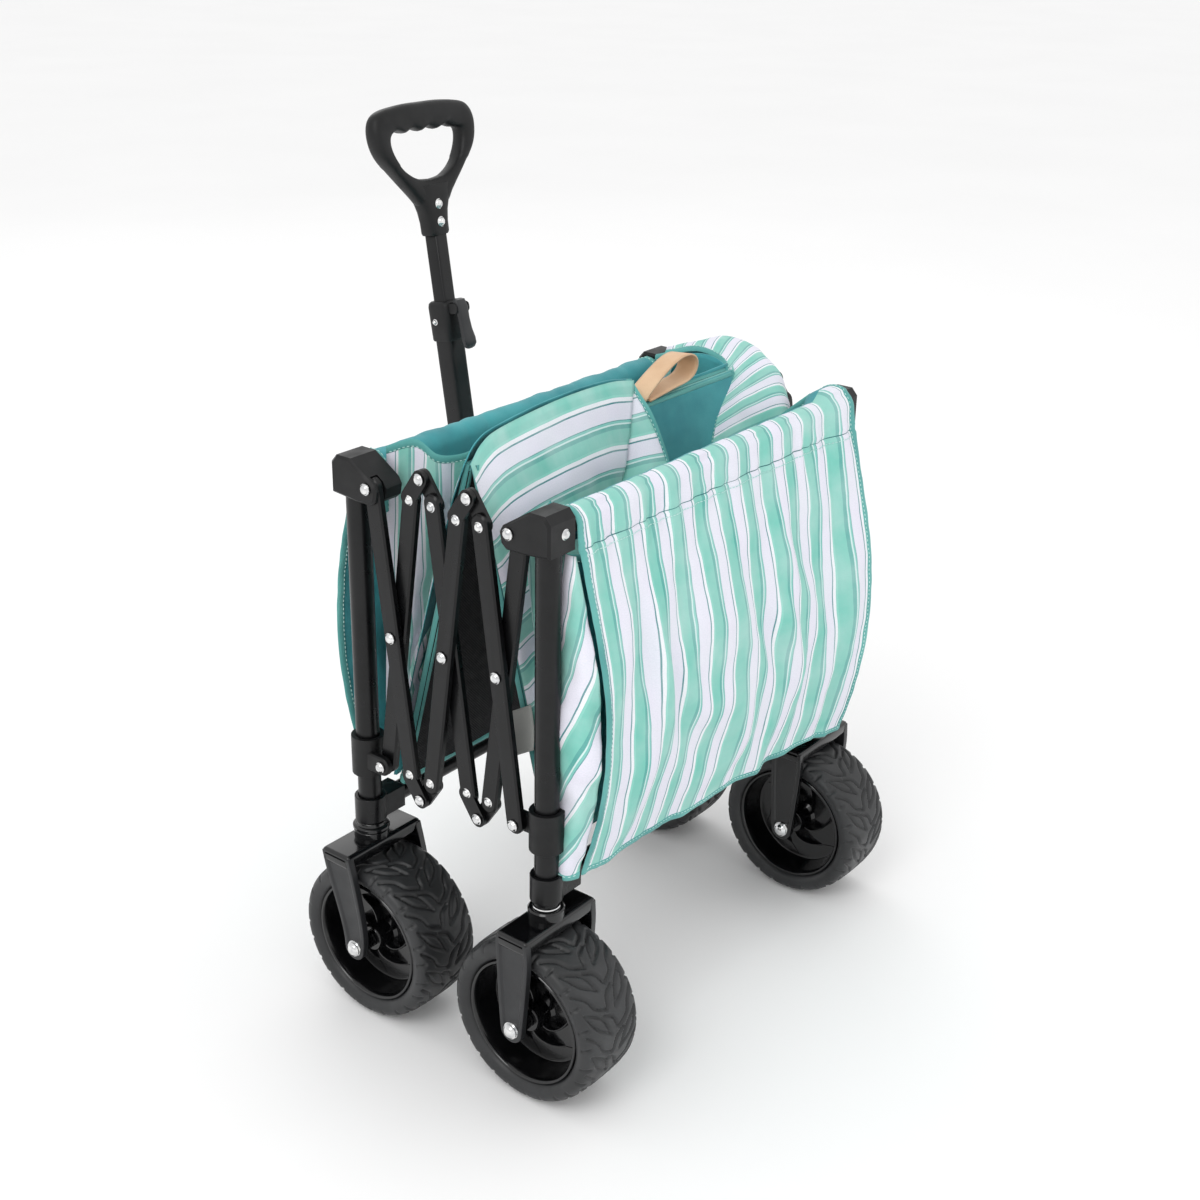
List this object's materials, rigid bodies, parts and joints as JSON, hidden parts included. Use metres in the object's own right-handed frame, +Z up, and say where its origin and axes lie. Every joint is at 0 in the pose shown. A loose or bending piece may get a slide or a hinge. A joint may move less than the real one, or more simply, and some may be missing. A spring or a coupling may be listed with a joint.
{
  "type": "beach cart",
  "caption": "Folding pull wagon with a scissor side frame, striped cloth tub, telescoping handle and wide beach tyres, stored folded.",
  "frame": {"origin": "centre of the bounding box on the ground, cart folded and standing on its wheels", "axes": "+Z up, +Y towards the pull handle, +X across the cart"},
  "size_m": [0.627, 0.4986, 0.9356],
  "materials": {
    "black_steel": "satin black powder coat",
    "matte_plastic": "fine matte black",
    "gloss_plastic": "gloss black",
    "tyre_rubber": "matte black",
    "striped_fabric": "woven polyester, mint, white and teal stripes",
    "lining_fabric": "teal woven polyester",
    "webbing": "beige webbing",
    "board_cover": "black woven cover over a stiff board"
  },
  "bodies": {
    "front_frame": {"front_post_left": "black_steel", "front_post_right": "black_steel", "front_cap_left": "matte_plastic", "front_cap_right": "matte_plastic", "front_top_rail": "black_steel", "front_lower_rail": "black_steel", "handle_bracket": "black_steel", "front_flap": "striped_fabric"},
    "rear_frame": {"rear_post_left": "black_steel", "rear_post_right": "black_steel", "rear_cap_left": "matte_plastic", "rear_cap_right": "matte_plastic", "rear_fork_left": "gloss_plastic", "rear_fork_right": "gloss_plastic", "rear_top_rail": "black_steel", "rear_lower_rail": "black_steel", "rear_flap": "striped_fabric"},
    "scissor_a1": {"scissor_a1_left": "black_steel", "scissor_a1_right": "black_steel"},
    "scissor_b1": {"scissor_b1_left": "black_steel", "scissor_b1_right": "black_steel"},
    "scissor_a2": {"scissor_a2_left": "black_steel", "scissor_a2_right": "black_steel"},
    "scissor_b2": {"scissor_b2_left": "black_steel", "scissor_b2_right": "black_steel"},
    "scissor_a3": {"scissor_a3_left": "black_steel", "scissor_a3_right": "black_steel"},
    "scissor_b3": {"scissor_b3_left": "black_steel", "scissor_b3_right": "black_steel"},
    "front_sliders": {"front_slider_left": "matte_plastic", "front_slider_right": "matte_plastic"},
    "rear_sliders": {"rear_slider_left": "matte_plastic", "rear_slider_right": "matte_plastic"},
    "floor_front": {"floor_front": "board_cover"},
    "floor_rear": {"floor_rear": "board_cover", "pull_strap": "webbing"},
    "side_front_left_post": {"side_front_left_post_panel": "striped_fabric"},
    "side_front_left_floor": {"side_front_left_floor_panel": "lining_fabric"},
    "side_front_right_post": {"side_front_right_post_panel": "striped_fabric"},
    "side_front_right_floor": {"side_front_right_floor_panel": "lining_fabric"},
    "side_rear_left_post": {"side_rear_left_post_panel": "striped_fabric"},
    "side_rear_left_floor": {"side_rear_left_floor_panel": "lining_fabric"},
    "side_rear_right_post": {"side_rear_right_post_panel": "striped_fabric"},
    "side_rear_right_floor": {"side_rear_right_floor_panel": "lining_fabric"},
    "handle_lower": {"handle_lower_tube": "black_steel", "handle_latch_housing": "matte_plastic"},
    "handle_upper": {"handle_upper_tube": "black_steel", "handle_grip": "matte_plastic"},
    "latch_lever": {"handle_latch_lever": "matte_plastic"},
    "caster_left": {"front_fork_left": "gloss_plastic"},
    "wheel_front_left": {"front_tyre_left": "tyre_rubber", "front_hub_left": "gloss_plastic"},
    "wheel_rear_left": {"rear_tyre_left": "tyre_rubber", "rear_hub_left": "gloss_plastic"},
    "caster_right": {"front_fork_right": "gloss_plastic"},
    "wheel_front_right": {"front_tyre_right": "tyre_rubber", "front_hub_right": "gloss_plastic"},
    "wheel_rear_right": {"rear_tyre_right": "tyre_rubber", "rear_hub_right": "gloss_plastic"}
  },
  "joints": [
    {"name": "fold", "type": "hinge", "parent": "front_frame", "child": "scissor_a1", "pos_m": [0, 0.05689, 0.612], "axis": [-1, 0, 0], "range_deg": [-1, 39.4], "deforming": ["front_flap", "rear_flap"]},
    {"name": "cross_1", "type": "hinge", "parent": "scissor_a1", "child": "scissor_b1", "pos_m": [0, 0.03554, 0.45646], "axis": [-1, 0, 0], "range_deg": [-78.81, 2.01]},
    {"name": "knuckle_low_1", "type": "hinge", "parent": "scissor_a1", "child": "scissor_a2", "pos_m": [0, 0.00048, 0.28195], "axis": [-1, 0, 0], "range_deg": [-78.81, 2.01]},
    {"name": "cross_2", "type": "hinge", "parent": "scissor_a2", "child": "scissor_b2", "pos_m": [0, -0.03458, 0.45646], "axis": [-1, 0, 0], "range_deg": [-2.01, 78.81]},
    {"name": "knuckle_high_2", "type": "hinge", "parent": "scissor_a2", "child": "scissor_a3", "pos_m": [0, -0.06964, 0.63097], "axis": [-1, 0, 0], "range_deg": [-2.01, 78.81]},
    {"name": "cross_3", "type": "hinge", "parent": "scissor_a3", "child": "scissor_b3", "pos_m": [0, -0.10471, 0.45646], "axis": [-1, 0, 0], "range_deg": [-78.81, 2.01]},
    {"name": "rear_corner", "type": "hinge", "parent": "scissor_b3", "child": "rear_frame", "pos_m": [0, -0.12606, 0.612], "axis": [-1, 0, 0], "range_deg": [-1.01, 39.41]},
    {"name": "front_slider_pivot", "type": "hinge", "parent": "scissor_b1", "child": "front_sliders", "pos_m": [0, 0.05689, 0.30092], "axis": [-1, 0, 0], "range_deg": [-1.01, 39.41]},
    {"name": "rear_slider_pivot", "type": "hinge", "parent": "scissor_a3", "child": "rear_sliders", "pos_m": [0, -0.12606, 0.30092], "axis": [-1, 0, 0], "range_deg": [-39.41, 1.01]},
    {"name": "floor_hinge", "type": "hinge", "parent": "front_frame", "child": "floor_front", "pos_m": [0, 0.06839, 0.256], "axis": [1, 0, 0], "range_deg": [-1.93, 75.42]},
    {"name": "floor_peak", "type": "hinge", "parent": "floor_front", "child": "floor_rear", "pos_m": [0, -0.03244, 0.64308], "axis": [-1, 0, 0], "range_deg": [-3.84, 150.82], "deforming": ["pull_strap"]},
    {"name": "side_front_left_post", "type": "hinge", "parent": "front_frame", "child": "side_front_left_post", "pos_m": [-0.23, 0.07839, 0.45], "axis": [0, 0, -1], "range_deg": [-1.98, 77.3], "deforming": ["side_front_left_post_panel"]},
    {"name": "side_front_left_floor", "type": "hinge", "parent": "floor_front", "child": "side_front_left_floor", "pos_m": [-0.223, 0.06839, 0.256], "axis": [0, -0.2521, 0.9677], "range_deg": [-2.3, 90.01], "deforming": ["side_front_left_floor_panel"]},
    {"name": "side_rear_left_post", "type": "hinge", "parent": "rear_frame", "child": "side_rear_left_post", "pos_m": [-0.23, -0.14326, 0.45], "axis": [0, 0, 1], "range_deg": [-1.98, 77.3], "deforming": ["side_rear_left_post_panel"]},
    {"name": "side_rear_left_floor", "type": "hinge", "parent": "floor_rear", "child": "side_rear_left_floor", "pos_m": [-0.223, -0.13326, 0.256], "axis": [0, -0.2521, -0.9677], "range_deg": [-2.3, 90.01], "deforming": ["side_rear_left_floor_panel"]},
    {"name": "side_front_right_post", "type": "hinge", "parent": "front_frame", "child": "side_front_right_post", "pos_m": [0.23, 0.07839, 0.45], "axis": [0, 0, 1], "range_deg": [-1.93, 75.34], "deforming": ["side_front_right_post_panel"]},
    {"name": "side_front_right_floor", "type": "hinge", "parent": "floor_front", "child": "side_front_right_floor", "pos_m": [0.223, 0.06839, 0.256], "axis": [0, 0.2521, -0.9677], "range_deg": [-2.3, 90.01], "deforming": ["side_front_right_floor_panel"]},
    {"name": "side_rear_right_post", "type": "hinge", "parent": "rear_frame", "child": "side_rear_right_post", "pos_m": [0.23, -0.14326, 0.45], "axis": [0, 0, -1], "range_deg": [-1.93, 75.34], "deforming": ["side_rear_right_post_panel"]},
    {"name": "side_rear_right_floor", "type": "hinge", "parent": "floor_rear", "child": "side_rear_right_floor", "pos_m": [0.223, -0.13326, 0.256], "axis": [0, 0.2521, 0.9677], "range_deg": [-2.3, 90.01], "deforming": ["side_rear_right_floor_panel"]},
    {"name": "handle_swing", "type": "hinge", "parent": "front_frame", "child": "handle_lower", "pos_m": [0, 0.12339, 0.24], "axis": [-1, 0, 0], "range_deg": [-3, 85]},
    {"name": "handle_telescope", "type": "slide", "parent": "handle_lower", "child": "handle_upper", "axis": [0, 0.1599, 0.9871], "range_m": [-0.07, 0.3]},
    {"name": "latch_lever", "type": "hinge", "parent": "handle_lower", "child": "latch_lever", "pos_m": [0, 0.17606, 0.72532], "axis": [-1, 0, 0], "range_deg": [0, 30], "stiffness_Nm_per_rad": 0.05},
    {"name": "caster_swivel_left", "type": "hinge", "parent": "front_frame", "child": "caster_left", "pos_m": [-0.253, 0.08839, 0.204], "axis": [0, 0, 1], "continuous": true},
    {"name": "wheel_spin_front_left", "type": "hinge", "parent": "caster_left", "child": "wheel_front_left", "pos_m": [-0.253, 0.06539, 0.092], "axis": [1, 0, 0], "continuous": true},
    {"name": "wheel_spin_rear_left", "type": "hinge", "parent": "rear_frame", "child": "wheel_rear_left", "pos_m": [-0.253, -0.15761, 0.092], "axis": [1, 0, 0], "continuous": true},
    {"name": "caster_swivel_right", "type": "hinge", "parent": "front_frame", "child": "caster_right", "pos_m": [0.253, 0.08839, 0.204], "axis": [0, 0, 1], "continuous": true},
    {"name": "wheel_spin_front_right", "type": "hinge", "parent": "caster_right", "child": "wheel_front_right", "pos_m": [0.253, 0.06539, 0.092], "axis": [1, 0, 0], "continuous": true},
    {"name": "wheel_spin_rear_right", "type": "hinge", "parent": "rear_frame", "child": "wheel_rear_right", "pos_m": [0.253, -0.15761, 0.092], "axis": [1, 0, 0], "continuous": true}
  ],
  "couplings": [
    {"joint": "cross_1", "follows": "fold", "ratio": -2},
    {"joint": "knuckle_low_1", "follows": "fold", "ratio": -2},
    {"joint": "cross_2", "follows": "fold", "ratio": 2},
    {"joint": "knuckle_high_2", "follows": "fold", "ratio": 2},
    {"joint": "cross_3", "follows": "fold", "ratio": -2},
    {"joint": "rear_corner", "follows": "fold", "ratio": 1},
    {"joint": "front_slider_pivot", "follows": "fold", "ratio": 1},
    {"joint": "rear_slider_pivot", "follows": "fold", "ratio": -1},
    {"joint": "floor_hinge", "follows": "fold", "ratio": 1.9137},
    {"joint": "floor_peak", "follows": "fold", "ratio": 3.8274},
    {"joint": "side_front_left_post", "follows": "fold", "ratio": 1.9615},
    {"joint": "side_front_left_floor", "follows": "fold", "ratio": 2.2843},
    {"joint": "side_rear_left_post", "follows": "fold", "ratio": 1.9615},
    {"joint": "side_rear_left_floor", "follows": "fold", "ratio": 2.2843},
    {"joint": "side_front_right_post", "follows": "fold", "ratio": 1.9119},
    {"joint": "side_front_right_floor", "follows": "fold", "ratio": 2.2843},
    {"joint": "side_rear_right_post", "follows": "fold", "ratio": 1.9119},
    {"joint": "side_rear_right_floor", "follows": "fold", "ratio": 2.2843}
  ]
}
